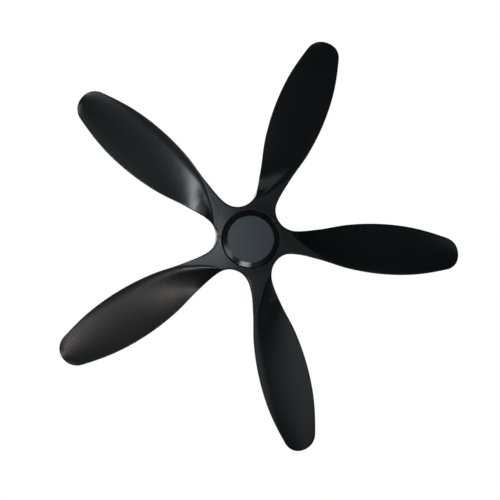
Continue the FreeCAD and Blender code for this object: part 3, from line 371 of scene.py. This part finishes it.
def make_blades(material):
    points, faces = blade_points()
    extra_points, extra_faces = flange_points()
    shift = len(points)
    points += extra_points
    faces += [tuple(index + shift for index in face) for face in extra_faces]
    for index in range(BLADES):
        turn = index * 2 * math.pi / BLADES
        cosine, sine = math.cos(turn), math.sin(turn)
        placed = [(x * cosine - y * sine, x * sine + y * cosine, z + HUB_FOOT)
                  for x, y, z in points]
        piece = mesh_object("blade_shell_%d" % (index + 1), placed, faces)
        piece.data.materials.append(material)
        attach(piece, "rotor")
        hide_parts("blade_%d" % (index + 1))


# ---------------------------------------------------------------- materials
NOISE_ROUGHNESS = 0.55
NOISE_LOW, NOISE_HIGH = 0.3, 0.7           # the part of the noise's range that is spread out
RAMP_LOW, RAMP_HIGH = 0.35, 0.65
BLOTCH = 0.08                              # slow change of colour, as a share of it
BLOTCH_SCALE, BLOTCH_DETAIL = 9, 4
GRAIN_DETAIL = 2
ROUGH_SPREAD = 0.1                         # change of roughness, as a share of it
BUMP_STRENGTH = 0.35


def new_material(name):
    material = bpy.data.materials.new(name)
    material.use_nodes = True
    return material, material.node_tree, material.node_tree.nodes["Principled BSDF"]


def noise(tree, scale, detail):
    place = tree.nodes.new("ShaderNodeTexCoord")
    texture = tree.nodes.new("ShaderNodeTexNoise")
    texture.inputs["Scale"].default_value = scale
    texture.inputs["Detail"].default_value = detail
    texture.inputs["Roughness"].default_value = NOISE_ROUGHNESS
    tree.links.new(place.outputs["Object"], texture.inputs["Vector"])
    return texture.outputs["Fac"]


def spread(tree, value, low, high):
    """A noise value stretched to run from low to high."""
    remap = tree.nodes.new("ShaderNodeMapRange")
    remap.inputs["From Min"].default_value = NOISE_LOW
    remap.inputs["From Max"].default_value = NOISE_HIGH
    remap.inputs["To Min"].default_value = low
    remap.inputs["To Max"].default_value = high
    tree.links.new(value, remap.inputs["Value"])
    return remap.outputs["Result"]


def tint(tree, value, dark, light):
    """A noise value turned into colours from dark to light."""
    ramp = tree.nodes.new("ShaderNodeValToRGB")
    ramp.color_ramp.elements[0].position = RAMP_LOW
    ramp.color_ramp.elements[1].position = RAMP_HIGH
    ramp.color_ramp.elements[0].color = dark + (1,)
    ramp.color_ramp.elements[1].color = light + (1,)
    tree.links.new(value, ramp.inputs["Fac"])
    return ramp.outputs["Color"]


def grainy(name, color, metal, rough, grain, depth):
    """A surface with fine grain in its bump and slow change in its colour and roughness."""
    material, tree, shader = new_material(name)
    slow = noise(tree, BLOTCH_SCALE, BLOTCH_DETAIL)
    fine = noise(tree, grain, GRAIN_DETAIL)
    dark = tuple(channel * (1 - BLOTCH) for channel in color)
    light = tuple(min(channel * (1 + BLOTCH), 1) for channel in color)
    tree.links.new(tint(tree, slow, dark, light), shader.inputs["Base Color"])
    smoother, rougher = rough * (1 - ROUGH_SPREAD), min(rough * (1 + ROUGH_SPREAD), 1)
    tree.links.new(spread(tree, fine, smoother, rougher), shader.inputs["Roughness"])
    shader.inputs["Metallic"].default_value = metal
    bump = tree.nodes.new("ShaderNodeBump")
    bump.inputs["Strength"].default_value = BUMP_STRENGTH
    bump.inputs["Distance"].default_value = depth
    tree.links.new(fine, bump.inputs["Height"])
    tree.links.new(bump.outputs["Normal"], shader.inputs["Normal"])
    return material


# slot: base colour, metallic, roughness, grain per metre, depth of the grain in metres
FINISHES = {
    "blade_black": ((0.008, 0.0081, 0.0090), 0, 0.26, 900, 0.00003),
    "body_black": ((0.014, 0.014, 0.015), 0, 0.45, 1400, 0.00005),
    "pan_black": ((0.010, 0.010, 0.011), 0, 0.17, 1200, 0.00003),
    "lens_smoke": ((0.038, 0.047, 0.053), 0, 0.3, 700, 0.00003),
    "zinc_steel": ((0.55, 0.56, 0.57), 1, 0.35, 500, 0.00004),
    "black_screw": ((0.02, 0.02, 0.02), 1, 0.4, 800, 0.00003),
    "cast_steel": ((0.04, 0.04, 0.045), 0, 0.55, 600, 0.0001),
    "ball_nylon": ((0.62, 0.6, 0.55), 0, 0.5, 400, 0.00003),
    "cap_aluminium": ((0.62, 0.63, 0.64), 1, 0.5, 350, 0.0001),
    "lamination": ((0.3, 0.31, 0.33), 1, 0.5, 300, 0.0001),
    "copper_wire": ((0.7, 0.3, 0.14), 1, 0.35, 260, 0.0002),
    "bobbin_nylon": ((0.8, 0.8, 0.76), 0, 0.5, 400, 0.00003),
    "board_green": ((0.02, 0.16, 0.07), 0, 0.3, 250, 0.00005),
    "magnet_nickel": ((0.55, 0.55, 0.55), 1, 0.25, 500, 0.00003),
    "bearing_steel": ((0.7, 0.7, 0.71), 1, 0.15, 500, 0.00002),
    "cage_steel": ((0.5, 0.45, 0.36), 1, 0.4, 400, 0.00005),
    "receiver_grey": ((0.08, 0.08, 0.085), 0, 0.5, 700, 0.00006),
    "driver_white": ((0.72, 0.72, 0.7), 0, 0.5, 700, 0.00005),
    "board_white": ((0.85, 0.85, 0.84), 0, 0.35, 300, 0.00003),
    "led_yellow": ((0.8, 0.68, 0.16), 0, 0.4, 500, 0.00003),
}
MATERIALS = {name: grainy(name, *finish) for name, finish in FINISHES.items()}


def dress_cad_nodes():
    """Give each carried-over CAD node the material of its slot."""
    for entry in frame["record"]["subparts"]:
        mesh = frame["nodes"][entry["node"]].data
        mesh.materials.clear()
        mesh.materials.append(MATERIALS[entry["material_slot"]])
        for polygon in mesh.polygons:
            polygon.use_smooth = True
        mesh.set_sharp_from_angle(angle=math.radians(CAD_CREASE))


# ---------------------------------------------------------------- camera, lights and floor
CAMERA_PLACE = Vector((-0.351, 0.1805, -3.1145))
CAMERA_FORWARD = Vector((0.1255, -0.0527, 0.9906))
CAMERA_UP = Vector((-0.0693, -0.9966, -0.0437))
LENS_LENGTH = 66.75
SENSOR_WIDTH = 36
VIEW_END = 100
LIGHT_DISTANCE = 3.2
AMBIENT = 0.05
FLOOR_LEVEL = -3.6
FLOOR_HALF = 40.0
FLOOR_DARK, FLOOR_ROUGHNESS = (0.03, 0.03, 0.03, 1), 0.9
FLOOR_PALE, FLOOR_PALER = (0.80, 0.80, 0.79), (0.84, 0.84, 0.83)
FLOOR_BLOTCH_SCALE, FLOOR_BLOTCH_DETAIL = 3, 3


def aimed(place, forward, up):
    """A placing that looks along forward, as cameras and area lights do."""
    forward = forward.normalized()
    side = forward.cross(up).normalized()
    top = side.cross(forward)
    turn = Matrix((side, top, -forward)).transposed().to_4x4()
    return Matrix.Translation(place) @ turn


def make_camera():
    data = bpy.data.cameras.new("camera")
    data.lens = LENS_LENGTH
    data.sensor_width = SENSOR_WIDTH
    data.clip_end = VIEW_END
    camera = bpy.data.objects.new("camera", data)
    bpy.context.scene.collection.objects.link(camera)
    camera.matrix_world = aimed(CAMERA_PLACE, CAMERA_FORWARD, CAMERA_UP)
    bpy.context.scene.camera = camera


def area_light(name, place, target, width, height, power, color):
    data = bpy.data.lights.new(name, "AREA")
    data.shape = "RECTANGLE"
    data.size, data.size_y = width, height
    data.energy = power
    data.color = color
    light = bpy.data.objects.new(name, data)
    bpy.context.scene.collection.objects.link(light)
    light.matrix_world = aimed(place, target - place, Vector((0, 0, 1)))


def direction(azimuth, elevation):
    """Unit vector at an azimuth and an elevation in degrees."""
    turn, rise = math.radians(azimuth), math.radians(elevation)
    return Vector((math.cos(turn) * math.cos(rise), math.sin(turn) * math.cos(rise),
                   math.sin(rise)))


def make_lights():
    """Soft lights round the hub: name, azimuth, elevation, width, height, watts and colour."""
    hub = Vector((0, 0, HUB_FOOT))
    daylight, warm, plain = (0.84, 0.93, 1.0), (1.0, 0.96, 0.93), (0.97, 0.98, 1.0)
    lights = (
        ("window", 144, -43, 1.3, 1.0, 42, daylight),
        ("floor_patch", 215, -86, 0.7, 0.7, 8, daylight),
        ("lamp", 89, -51, 0.8, 0.22, 9, warm),
        ("door", 57, -55, 0.25, 0.2, 3.2, warm),
        ("floor_glow", 0, -60, 1.4, 0.8, 3, plain),
        ("wall_glow", 235, -26, 1.4, 0.8, 3, plain),
        ("ceiling_glow", 209, 50, 2.4, 2.4, 120, plain),
        ("side_glow", 353, -4, 0.8, 2.2, 12, plain),
        ("back_glow", 209, -4, 0.8, 2.2, 12, plain),
    )
    for name, azimuth, elevation, width, height, watts, color in lights:
        place = hub + direction(azimuth, elevation) * LIGHT_DISTANCE
        area_light(name, place, hub, width, height, watts, color)


def make_world():
    """White to the camera, and a dim even light for everything else."""
    world = bpy.data.worlds.new("studio")
    bpy.context.scene.world = world
    world.use_nodes = True
    tree = world.node_tree
    ambient = tree.nodes["Background"]
    ambient.inputs["Color"].default_value = (0.9, 0.95, 1.0, 1)
    ambient.inputs["Strength"].default_value = AMBIENT
    backdrop = tree.nodes.new("ShaderNodeBackground")
    backdrop.inputs["Color"].default_value = (1, 1, 1, 1)
    backdrop.inputs["Strength"].default_value = 1.0
    ray = tree.nodes.new("ShaderNodeLightPath")
    mix = tree.nodes.new("ShaderNodeMixShader")
    tree.links.new(ray.outputs["Is Camera Ray"], mix.inputs["Fac"])
    tree.links.new(ambient.outputs["Background"], mix.inputs[1])
    tree.links.new(backdrop.outputs["Background"], mix.inputs[2])
    tree.links.new(mix.outputs["Shader"], tree.nodes["World Output"].inputs["Surface"])


def make_floor():
    """A pale floor that shows pale to the camera and throws little light back at the fan."""
    material, tree, shader = new_material("floor_pale")
    shader.inputs["Base Color"].default_value = FLOOR_DARK
    shader.inputs["Roughness"].default_value = FLOOR_ROUGHNESS
    pale = tree.nodes.new("ShaderNodeEmission")
    slow = noise(tree, FLOOR_BLOTCH_SCALE, FLOOR_BLOTCH_DETAIL)
    tree.links.new(tint(tree, slow, FLOOR_PALE, FLOOR_PALER), pale.inputs["Color"])
    ray = tree.nodes.new("ShaderNodeLightPath")
    mix = tree.nodes.new("ShaderNodeMixShader")
    tree.links.new(ray.outputs["Is Camera Ray"], mix.inputs["Fac"])
    tree.links.new(shader.outputs["BSDF"], mix.inputs[1])
    tree.links.new(pale.outputs["Emission"], mix.inputs[2])
    tree.links.new(mix.outputs["Shader"], tree.nodes["Material Output"].inputs["Surface"])
    corners = [(x * FLOOR_HALF, y * FLOOR_HALF, FLOOR_LEVEL)
               for x, y in ((-1, -1), (1, -1), (1, 1), (-1, 1))]
    floor = mesh_object("floor", corners, [(0, 1, 2, 3)])
    floor.data.materials.append(material)


bpy.context.scene.view_settings.view_transform = "Standard"
make_camera()
make_lights()
make_world()
make_floor()
dress_cad_nodes()
make_blades(MATERIALS["blade_black"])
